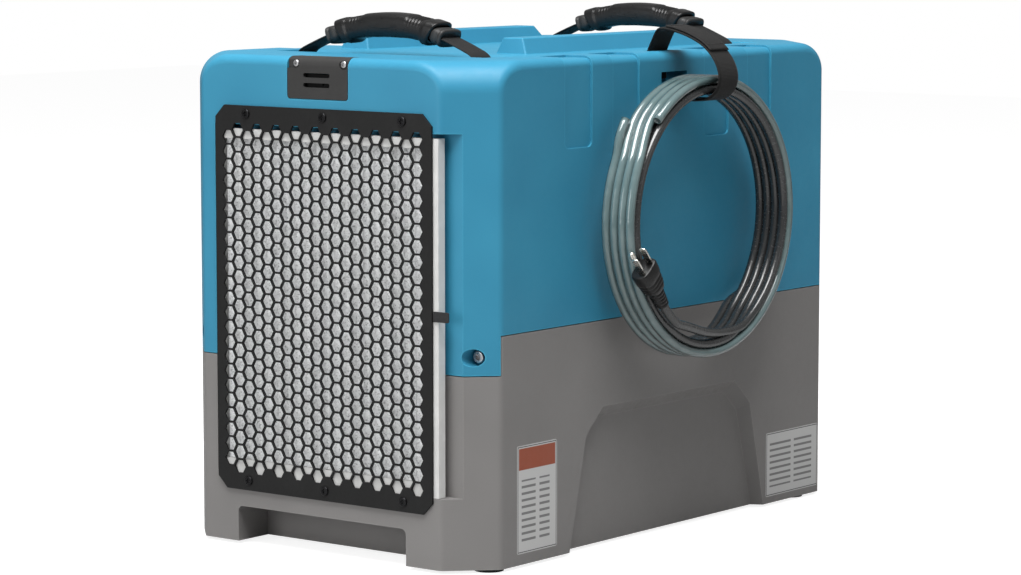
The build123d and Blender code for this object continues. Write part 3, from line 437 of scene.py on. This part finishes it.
def frames_along(path, start_side):
    """Tangent, side and normal at each point, carried along without twist."""
    frames = []
    side = Vector(start_side)
    for i, point in enumerate(path):
        ahead = path[min(i + 1, len(path) - 1)]
        behind = path[max(i - 1, 0)]
        tangent = (ahead - behind).normalized()
        side = (side - tangent * side.dot(tangent)).normalized()
        frames.append((point, tangent, side, tangent.cross(side)))
    return frames


def loft_rings(bm, rings, closed_ends=True):
    """Join rings of points into a closed skin."""
    rows = [[bm.verts.new(point) for point in ring] for ring in rings]
    count = len(rows[0])
    for lower, upper in zip(rows, rows[1:]):
        for i in range(count):
            j = (i + 1) % count
            bm.faces.new((lower[i], lower[j], upper[j], upper[i]))
    if closed_ends:
        bm.faces.new(list(reversed(rows[0])))
        bm.faces.new(rows[-1])
    return rows


def ribbon(name, path, side, width, thickness, material, body):
    """Strap of rounded rectangular section along a path, mapped by its length and width in metres."""
    frames = frames_along(path, side)
    lengths = [0.0]
    for a, b in zip(path, path[1:]):
        lengths.append(lengths[-1] + (b - a).length)
    across = 16
    half_w, half_t = width / 2, thickness / 2
    outline = []
    for i in range(across + 1):
        x = -half_w + width * i / across
        edge = max(0.0, abs(x) / half_w - 0.9) / 0.1
        outline.append((x, half_t * sqrt(max(0.0, 1 - edge ** 2)) * 0.86 + half_t * 0.14, x))
    top = outline
    bottom = [(x, -y, x) for x, y, _ in reversed(outline)]
    section = top + bottom
    mesh = bpy.data.meshes.new(name)
    bm = bmesh.new()
    layer = bm.loops.layers.uv.new("along")
    rows = []
    for point, _, across_dir, normal in frames:
        rows.append([bm.verts.new(point + across_dir * x + normal * y) for x, y, _ in section])
    count = len(section)
    for r, (lower, upper) in enumerate(zip(rows, rows[1:])):
        for i in range(count):
            j = (i + 1) % count
            face = bm.faces.new((lower[i], lower[j], upper[j], upper[i]))
            values = ((lengths[r], section[i][2]), (lengths[r], section[j][2]),
                      (lengths[r + 1], section[j][2]), (lengths[r + 1], section[i][2]))
            for loop, value in zip(face.loops, values):
                loop[layer].uv = value
    for row, length in ((rows[0], lengths[0]), (rows[-1], lengths[-1])):
        face = bm.faces.new(row)
        for loop, spot in zip(face.loops, section):
            loop[layer].uv = (length, spot[2])
    bmesh.ops.recalc_face_normals(bm, faces=bm.faces)
    bm.to_mesh(mesh)
    bm.free()
    return new_object(name, mesh, material, body)


def stitches(name, start, end, normal, material, body):
    """Row of sewn stitches: short rounded threads laid end to end between two points."""
    length, gap, radius = 0.0022, 0.0012, 0.00028
    direction = (end - start).normalized()
    total = (end - start).length
    step = length + gap
    count = max(1, int(total / step))

    def build(bm):
        for n in range(count):
            middle = start + direction * (step * (n + 0.5))
            rings = []
            for k in range(5):
                t = k / 4
                lift = sin(pi * t)
                centre = middle + direction * (length * (t - 0.5)) + normal * (radius * 0.7 * lift)
                size = radius * (0.45 + 0.55 * lift)
                side = direction.cross(normal)
                rings.append([centre + (side * cos(a) + normal * sin(a)) * size
                              for a in (tau * i / 6 for i in range(6))])
            loft_rings(bm, rings)

    return new_object(name, mesh_from(name, build), material, body)


# ------------------------------------------------------------------ hose and cord
def blend(value, start, end):
    """Smooth step from 0 at start to 1 at end, either way round."""
    t = min(1.0, max(0.0, (value - start) / (end - start)))
    return t * t * (3 - 2 * t)


def ring_point(x, radius, degrees):
    """Point of the hanging ring, its angle counted from the rear edge upwards."""
    a = radians(degrees)
    return Vector((x, RING_CENTRE.y + (radius + RING_SAG[0]) * cos(a),
                   RING_CENTRE.z + (radius + RING_SAG[1]) * sin(a)))


def coil_points(radius, pitch, start, sweep, first_step, step_half):
    """Control points of turns that lie side by side; each steps over to the next lane in a short arc."""
    count = int(abs(sweep) / 360 * POINTS_PER_TURN)
    swell = 1 / (0.75 + 0.25 * cos(tau / POINTS_PER_TURN))
    points = []
    for n in range(count + 1):
        travelled = abs(sweep) * n / count
        angle = start + sweep * n / count
        lanes = sum(blend(travelled, first_step + 360 * k - step_half, first_step + 360 * k + step_half)
                    for k in range(TURNS - 1))
        loose = (1 - sin(radians(angle))) / 2
        wander = 0.0004 * sin(radians(0.7 * travelled) + 1.3) * loose
        points.append(ring_point(FIRST_LANE_X + pitch * lanes, (radius + wander) * swell, angle))
    return points


cord_lead = [(0.1643, 0.145, 0.262), (0.1643, 0.145, 0.246), (0.165, 0.138, 0.229), (0.166, 0.124, 0.2145),
             (0.1666, 0.107, 0.2035), (0.167, 0.090, 0.197), (0.1672, 0.0717, 0.1916), (0.170, 0.0583, 0.183)]
PLUG_TAIL = Vector((0.210, -0.0864, 0.206))
PLUG_AIM = Vector((2, -42.4, 46.3)).normalized()
cord_tail = [(0.1985, 0.008, 0.1725), (0.203, -0.020, 0.177), (0.2065, -0.047, 0.1845),
             tuple(PLUG_TAIL - PLUG_AIM * 0.022), tuple(PLUG_TAIL)]


def build_hose():
    """Clear drain hose: four turns with both ends bare, with its bore open."""
    turns = coil_points(HOSE_RING_R, HOSE_PITCH, 150, TURNS * 360 - 17, 351, 13)
    points = [Vector((0.1752, -0.0915, 0.3570)), Vector((0.1752, -0.1010, 0.3430))] + turns
    path = sample_spline(points)
    frames = frames_along(path, (1, 0, 0))
    sides = 16

    def ring(frame, radius):
        point, _, side, normal = frame
        return [point + (side * cos(tau * i / sides) + normal * sin(tau * i / sides)) * radius
                for i in range(sides)]

    def build(bm):
        outer = loft_rings(bm, [ring(f, HOSE_D / 2) for f in frames], closed_ends=False)
        inner = loft_rings(bm, [ring(f, HOSE_BORE / 2) for f in frames], closed_ends=False)
        for a, b in ((outer[0], inner[0]), (outer[-1], inner[-1])):
            for i in range(sides):
                j = (i + 1) % sides
                bm.faces.new((a[i], a[j], b[j], b[i]))

    hose = new_object("drain_hose", mesh_from("drain_hose", build), clear_hose())
    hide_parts("drain_hose_coil")
    return hose


def build_cord(material):
    """Mains cord: out of its boot, four turns inside the hose, and up to its plug."""
    turns = coil_points(CORD_RING_R, CORD_D, -72, -(TURNS * 360 - 4), 350, 12)
    points = [Vector(p) for p in cord_lead] + turns + [Vector(p) for p in cord_tail]
    cord = round_cord("power_cord", points, CORD_D / 2, material)
    path = sample_spline(points)
    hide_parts("power_cord_coil", "power_cord_lead", "power_cord_tail")
    return cord


# ------------------------------------------------------------------ strap that holds the ring
STRAP_PATH = [(0.1395, 0.385), (0.1396, 0.398), (0.1398, 0.4085), (0.1438, 0.4165), (0.1478, 0.4245),
              (0.1505, 0.4277), (0.156, 0.4285), (0.166, 0.427), (0.179, 0.4235), (0.196, 0.416),
              (0.208, 0.404), (0.2135, 0.391), (0.2118, 0.3805), (0.205, 0.3726),
              (0.196, 0.3697), (0.182, 0.3692), (0.168, 0.3694), (0.151, 0.371), (0.144, 0.377)]
STRAP_Y = 0.002
STRAP_W = 0.029
STRAP_T = 0.0024
TAB_T = 0.0018
TAB_LOW = 0.409  # the free end stops at this height
STITCH_REACH = 0.0125


def build_strap(material, thread):
    """Hook and loop band round the ring, its free end pressed down on the outside and sewn across."""
    points = [Vector((x, STRAP_Y, z)) for x, z in STRAP_PATH]
    path = sample_spline(points, 8)
    strap = ribbon("hook_loop_band", path, (0, 1, 0), STRAP_W, STRAP_T, material, "cabinet")
    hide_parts("hook_loop_strap")
    lifted = []
    frames = frames_along(path, (0, 1, 0))
    middle = Vector((RING_CENTRE.x, STRAP_Y, 0.395))
    for point, _, _, normal in frames:
        out = normal if normal.dot(point - middle) > 0 else -normal
        if point.z > TAB_LOW and point.x > 0.158:
            lifted.append(point + out * 0.0022)
    tab = ribbon("hook_loop_tab", lifted, (0, 1, 0), STRAP_W - 0.0016, TAB_T, material, "cabinet")
    for index in (3, len(lifted) - 4):
        point, _, side, normal = frames_along(lifted, (0, 1, 0))[index]
        out = normal if normal.dot(point - middle) > 0 else -normal
        base = point + out * 0.001
        row = stitches(f"strap_stitches_{index}", base - side * STITCH_REACH, base + side * STITCH_REACH, out,
                       thread, "cabinet")
    return strap


# ------------------------------------------------------------------ carrying handles
def arc_point(x, y):
    """Point of the grip's arc above a place on the top."""
    return Vector((x, y, GRIP_CENTRE_Z + sqrt(GRIP_RADIUS ** 2 - x ** 2)))


def arc_frame(s, y):
    """Point, tangent and outward direction on the grip's arc, s millimetres along it from the middle."""
    turn = s * MM / GRIP_RADIUS
    out = Vector((sin(turn), 0, cos(turn)))
    return Vector((0, y, GRIP_CENTRE_Z)) + out * GRIP_RADIUS, Vector((cos(turn), 0, -sin(turn))), out


def section_ring(s, y, half, up, down, power=3.2, sides=40, slant=0.0):
    """Rounded section across the arc: half its width, and its heights above and below, in millimetres."""
    centre, tangent, out = arc_frame(s, y)
    ring = []
    for i in range(sides):
        a = tau * i / sides
        c, d = cos(a), sin(a)
        across = half * abs(c) ** (2 / power) * (1 if c > 0 else -1)
        height = (up if d > 0 else down) * abs(d) ** (2 / power) * (1 if d > 0 else -1)
        upright = out * height * MM + tangent * height * slant * MM
        ring.append(centre + Vector((0, 1, 0)) * across * MM + upright)
    return ring


def grip_section(s):
    """Half width and heights of the moulded grip: raised back, ribbed pads, finger swell and end collars."""
    a = abs(s)
    up = 9.0 + 1.5 * blend(a, 27, 23)
    if 27 < a < 40:
        up += (1.3 * sqrt(max(0.0, sin(tau * (a - 27) / 3.4))) - 0.5) * blend(a, 27, 28) * blend(a, 41, 40)
    up += 1.9 * blend(a, 41.5, 44.5)
    down = 9.3 + 0.9 * blend(a, 30, 8)
    down += 2.0 * blend(a, 40, 46)
    half = 13.4 + 0.6 * blend(a, 42, 45)
    end = blend(a, 51.4, 54)
    return half - 1.6 * end, up - 1.6 * end, down - 1.6 * end


def grip_slant(s):
    """Lean of the end faces, so that the top reaches further than the underside."""
    return 0.36 * blend(abs(s), 38, 52) * (1 if s > 0 else -1)


def build_grip(end, material):
    """Moulded grip, open at both ends where the webbing comes out."""
    y = HANDLE_Y[end]

    def build(bm):
        rings = []
        for step in range(-2 * GRIP_HALF, 2 * GRIP_HALF + 1):
            s = step / 2
            rings.append(section_ring(s * GRIP_END / GRIP_HALF, y, *grip_section(s), slant=grip_slant(s)))
        rows = loft_rings(bm, rings, closed_ends=False)
        for edge, sign in ((rows[0], -1), (rows[-1], 1)):
            previous = edge
            for s, half, high in ((50.1, 12.6, 7.4), (49.6, 12.3, 7.0), (41, 12.0, 5.2)):
                section = section_ring(sign * s, y, half, high, high, slant=grip_slant(sign * s))
                row = [bm.verts.new(p) for p in section]
                count = len(row)
                for i in range(count):
                    j = (i + 1) % count
                    bm.faces.new((previous[i], previous[j], row[j], row[i]))
                previous = row
            bm.faces.new(previous)

    grip = new_object(f"{end}_grip", mesh_from(f"{end}_grip", build), material, f"{end}_handle")
    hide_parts(f"{end}_handle_grip")

    def arc_bead(bm):
        for face in (-1, 1):
            rings = []
            for k in range(25):
                a = pi + pi * k / 24
                centre, _, out = arc_frame(15 * cos(a), y)
                point = centre + out * (1.2 + 3.2 * sin(a)) * MM + Vector((0, face * 13.25 * MM, 0))
                size = 0.45 * MM * (0.35 + 0.65 * sin(pi * k / 24))
                _, tangent, _ = arc_frame(15 * cos(a), y)
                along = (tangent * -sin(a) * 15 + out * cos(a) * 3.2).normalized()
                sideways = along.cross(Vector((0, 1, 0)))
                rings.append([point + (sideways * cos(b) + Vector((0, 1, 0)) * sin(b)) * size
                              for b in (tau * i / 8 for i in range(8))])
            loft_rings(bm, rings)

    bead = new_object(f"{end}_grip_arc", mesh_from(f"{end}_grip_arc", arc_bead), material, f"{end}_handle")


def build_clamps(end, material):
    """Two-piece clamps at both ends of a grip, with a waist and a flared end round the webbing."""
    y = HANDLE_Y[end]
    stations = ((43, 11.6, 4.7), (50.6, 11.8, 5.0), (51.4, 12.6, 5.8), (52.8, 13.2, 6.6), (57.4, 13.8, 7.3),
                (58.2, 13.0, 6.0), (59.2, 13.2, 6.2), (60, 13.9, 7.6), (61.6, 13.9, 7.6), (62.4, 13.2, 6.6),
                (62.6, 12.7, 4.0), (61.2, 12.6, 1.7))

    def build(bm):
        for sign in (-1, 1):
            loft_rings(bm, [section_ring(sign * s, y, half, high, high, 4.0) for s, half, high in stations])

    clamps = new_object(f"{end}_clamps", mesh_from(f"{end}_clamps", build), material, f"{end}_handle")
    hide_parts(f"{end}_handle_clamps")


def build_handle(end, rubber, black, webbing):
    """Webbing that runs out of the top, through the grip and back; its sewn ends stay in their slots."""
    y = HANDLE_Y[end]
    half = [Vector((0.0948, y, 0.4045)), Vector((0.0940, y, 0.4092)), Vector((0.080, y, 0.4152))]
    middle = [arc_point(x * MM, y) for x in range(66, -67, -11)]
    other = [Vector((-p.x, p.y, p.z)) for p in reversed(half)]
    path = sample_spline(half + middle + other, 5)
    band = ribbon(f"{end}_webbing", path, (0, 1, 0), WEBBING_W, WEBBING_T, webbing, None)
    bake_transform(band)
    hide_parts(f"{end}_handle_webbing")
    build_grip(end, rubber)
    build_clamps(end, black)


# ------------------------------------------------------------------ mains plug
def plug_ring(along, half_x, half_y, power, sides=40):
    """Rounded section across the plug, millimetres along it from its cord end."""
    x_dir = Vector((1, 0, -0.04))
    x_dir = (x_dir - PLUG_AIM * x_dir.dot(PLUG_AIM)).normalized()
    y_dir = PLUG_AIM.cross(x_dir)
    ring = []
    for i in range(sides):
        a = tau * i / sides
        c, d = cos(a), sin(a)
        u = half_x * abs(c) ** (2 / power) * (1 if c > 0 else -1)
        v = half_y * abs(d) ** (2 / power) * (1 if d > 0 else -1)
        ring.append(PLUG_TAIL + PLUG_AIM * along * MM + x_dir * u * MM + y_dir * v * MM)
    return ring


def build_plug(rubber, brass):
    """Moulded plug: ribbed strain relief, waisted body with finger grooves, two blades and an earth pin."""
    rings = [plug_ring(0, 4.3, 4.3, 2.0), plug_ring(0.5, 4.8, 4.8, 2.0)]
    for rib in range(5):
        base = 1.0 + 3.4 * rib
        wide = 5.2 + 0.33 * rib
        for step, grow in ((0, 0), (2.0, 0.2), (2.3, -0.8), (3.1, -0.7)):
            rings.append(plug_ring(base + step, wide + grow, wide + grow, 2.0))
    rings += [plug_ring(18.2, 6.6, 6.8, 2.4), plug_ring(19.2, 7.4, 8.0, 2.8), plug_ring(22, 7.8, 8.8, 3.0)]
    for groove in range(3):
        base = 23 + 3.6 * groove
        for step, half_x, half_y in ((0, 7.9, 9.3), (0.7, 7.5, 8.7), (1.6, 7.5, 8.8), (2.3, 8.0, 9.9)):
            rings.append(plug_ring(base + step, half_x, half_y + 0.6 * groove, 3.2))
    rings += [plug_ring(35, 8.2, 11.6, 3.4), plug_ring(43.6, 8.25, 12, 3.4), plug_ring(44.7, 7.8, 11.5, 3.4),
              plug_ring(45, 7.0, 10.8, 3.4)]
    body = new_object("plug_moulding", mesh_from("plug_moulding", lambda bm: loft_rings(bm, rings)), rubber)
    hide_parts("plug_body")

    def prong(bm, u, v, half_x, half_y, power):
        shift = plug_ring(0, 1, 1, 2.0, 4)
        x_dir = (shift[0] - PLUG_TAIL).normalized()
        y_dir = (shift[1] - PLUG_TAIL).normalized()
        offset = (x_dir * u + y_dir * v) * MM
        stations = ((44, 1.0), (60.2, 1.0), (61.4, 0.8), (62, 0.5))
        rings = [plug_ring(s, half_x * k, half_y * k, power, 24) for s, k in stations]
        loft_rings(bm, [[p + offset for p in ring] for ring in rings])

    def build(bm):
        prong(bm, 3, -6.35, 3.15, 0.8, 9.0)
        prong(bm, 3, 6.35, 3.15, 0.8, 9.0)
        prong(bm, -4.6, 0, 2.4, 2.4, 2.0)

    pins = new_object("plug_pins", mesh_from("plug_pins", build), brass)
    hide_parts("plug_blades")
    return [body, pins]


# ------------------------------------------------------------------ fan behind the outlet
def build_fan(material):
    """Five twisted blades on a domed hub, its sizes in millimetres."""
    centre = Vector((0, 0.223, 0.190))
    root, tip = 28.5, 95.5

    def build(bm):
        profile = ((-17, 29.0), (-15.5, 30.0), (14, 30.0), (16.2, 28.4), (17, 25), (17, 9), (14, 7.5),
                   (14, 4.1), (-17, 4.1))
        sides = 48
        rings = [[centre + Vector((r * cos(tau * i / sides), d, r * sin(tau * i / sides))) * MM
                  for i in range(sides)] for d, r in profile]
        rows = loft_rings(bm, rings, closed_ends=False)
        for i in range(sides):
            j = (i + 1) % sides
            bm.faces.new((rows[-1][i], rows[-1][j], rows[0][j], rows[0][i]))
        for blade in range(5):
            start = tau * blade / 5
            rings = []
            for k in range(15):
                t = k / 14
                r = root + (tip - root) * t
                twist = radians(46 - 20 * t)
                chord = 24 + 12 * sin(pi * (0.15 + 0.75 * t))
                lean = 0.20 * t * t
                ring = []
                for side in (1, -1):
                    order = range(13) if side > 0 else range(12, -1, -1)
                    for m in order:
                        c = m / 12 - 0.5
                        camber = 3.2 * (1 - 4 * c * c)
                        thick = 1.15 * sqrt(max(0.02, 1 - 4 * c * c))
                        u = c * chord * cos(twist)
                        depth = c * chord * sin(twist) + camber + side * thick
                        a = start + lean + u / r
                        ring.append(centre + Vector((r * cos(a), depth, r * sin(a))) * MM)
                rings.append(ring)
            loft_rings(bm, rings)

    fan = new_object("fan_blades", mesh_from("fan_blades", build), material, "fan")
    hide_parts("fan_impeller")


# ------------------------------------------------------------------ finish of the CAD nodes
def finish_nodes():
    blue = moulded("cabinet_blue", (0.030, 0.204, 0.328), (0.062, 0.35, 0.51))
    grey = moulded("base_grey", (0.180, 0.174, 0.170), (0.26, 0.252, 0.246))
    black = matt_plastic("plastic_black", (0.024, 0.0235, 0.023))
    coat = painted("powder_black", (0.0105, 0.0105, 0.0105), 0.5)
    rubber = matt_plastic("rubber_black", (0.0075, 0.0073, 0.0073), 0.33, 0.0001)
    webbing = matt_plastic("tab_black", (0.02, 0.02, 0.021), 0.8)
    zinc = metal("zinc", (0.50, 0.50, 0.51), 0.28)
    dark = metal("zinc_black", (0.025, 0.025, 0.026), 0.3)
    brass = metal("brass", (0.80, 0.78, 0.72), 0.2)
    copper = metal("copper", (0.86, 0.45, 0.3), 0.3)
    sheet = metal("galvanised", (0.6, 0.61, 0.62), 0.42)
    fins = metal("fin_stock", (0.8, 0.8, 0.81), 0.35, (40, 1, 1))
    white = matt_plastic("plastic_white", (0.56, 0.56, 0.55), 0.45)
    media = filter_material()
    film = label_film()
    board = matt_plastic("board_green", (0.02, 0.12, 0.05), 0.35)
    dark_board = matt_plastic("board_black", (0.006, 0.006, 0.006), 0.6, 0.00006, 0.1)
    lens = matt_plastic("lens_smoke", (0.012, 0.014, 0.016), 0.08)
    button = matt_plastic("button_grey", (0.45, 0.46, 0.47), 0.35)
    tube = matt_plastic("tube_pale", (0.7, 0.72, 0.72), 0.2)
    by_node = {
        "upper_housing": blue, "lower_base": grey, "intake_grille": coat, "outlet_grille": coat,
        "filter_frame": white, "filter_media": media, "filter_pull_tab": webbing,
        "sensor_cover": black, "control_panel": black, "grille_screws": dark, "rear_screws": dark,
        "sensor_cover_screws": zinc, "corner_bolts": zinc, "feet_screws": zinc, "rubber_feet": rubber,
        "side_labels": film, "sensor_board": dark_board, "control_board": board, "display_lens": lens,
        "front_handle_grip": rubber, "rear_handle_grip": rubber, "front_handle_clamps": black,
        "rear_handle_clamps": black, "handle_anchors": zinc, "cord_gland": rubber, "gland_nut": black,
        "plug_body": rubber, "plug_blades": brass, "drain_fitting": brass, "chassis_plate": sheet,
        "evaporator": fins, "condenser": fins, "drip_tray": white, "compressor": coat,
        "compressor_grommets": rubber, "discharge_pipe": copper, "suction_pipe": copper,
        "liquid_line": copper, "fan_shroud": sheet, "fan_impeller": black, "fan_motor": sheet,
        "motor_bracket": sheet, "condensate_tank": white, "tank_lid": white, "float_switch": white,
        "condensate_pump": black, "pump_tube": tube, "control_box": sheet, "run_capacitor": zinc,
        "power_button": button, "mode_button": button, "down_button": button, "up_button": button,
    }
    for name, material in by_node.items():
        slots = frame["nodes"][name].material_slots
        for spot in slots:
            spot.material = material
        if not slots:
            frame["nodes"][name].data.materials.append(material)
    cord = matt_plastic("cord_rubber", (0.026, 0.027, 0.0275), 0.22, 0.000003, 0.8)
    return {"rubber": rubber, "black": black, "brass": brass, "cord": cord}


def filter_material():
    """Silvery expanded filter media: fine random strands with painted shade in the hollows between them, and
    painted glints of bright facets, over pale pleats.
    """
    s = Shader("filter_media", (0.93, 0.94, 0.945), 0.42)
    strands = s.noise(620, 6, (1, 1, 1), 0.7)
    # painted shade: darker where the strand height is low, in the hollows between strands
    s.mix(s.ramp(strands, 0.34, 0.50, 0.85, 0.0), (0.24, 0.245, 0.25))
    # painted glints: scattered patches lifted to near white for facets catching the light
    s.mix(s.ramp(s.noise(330, 4), 0.56, 0.66, 0.0, 0.95), (0.95, 0.96, 0.97))
    s.bump(strands, 0.0010, 0.9)
    return s.material


# ------------------------------------------------------------------ the whole picture
build_camera()
build_studio()
finishes = finish_nodes()
build_hose()
plug_pieces = build_plug(finishes["rubber"], finishes["brass"])
build_cord(finishes["cord"])
web = woven("webbing_black", (0.004, 0.004, 0.004), (0.014, 0.0125, 0.0115))
thread = matt_plastic("thread_black", (0.03, 0.03, 0.03), 0.6)
build_strap(web, thread)
for end in HANDLE_Y:
    build_handle(end, finishes["rubber"], finishes["black"], web)
build_fan(finishes["black"])
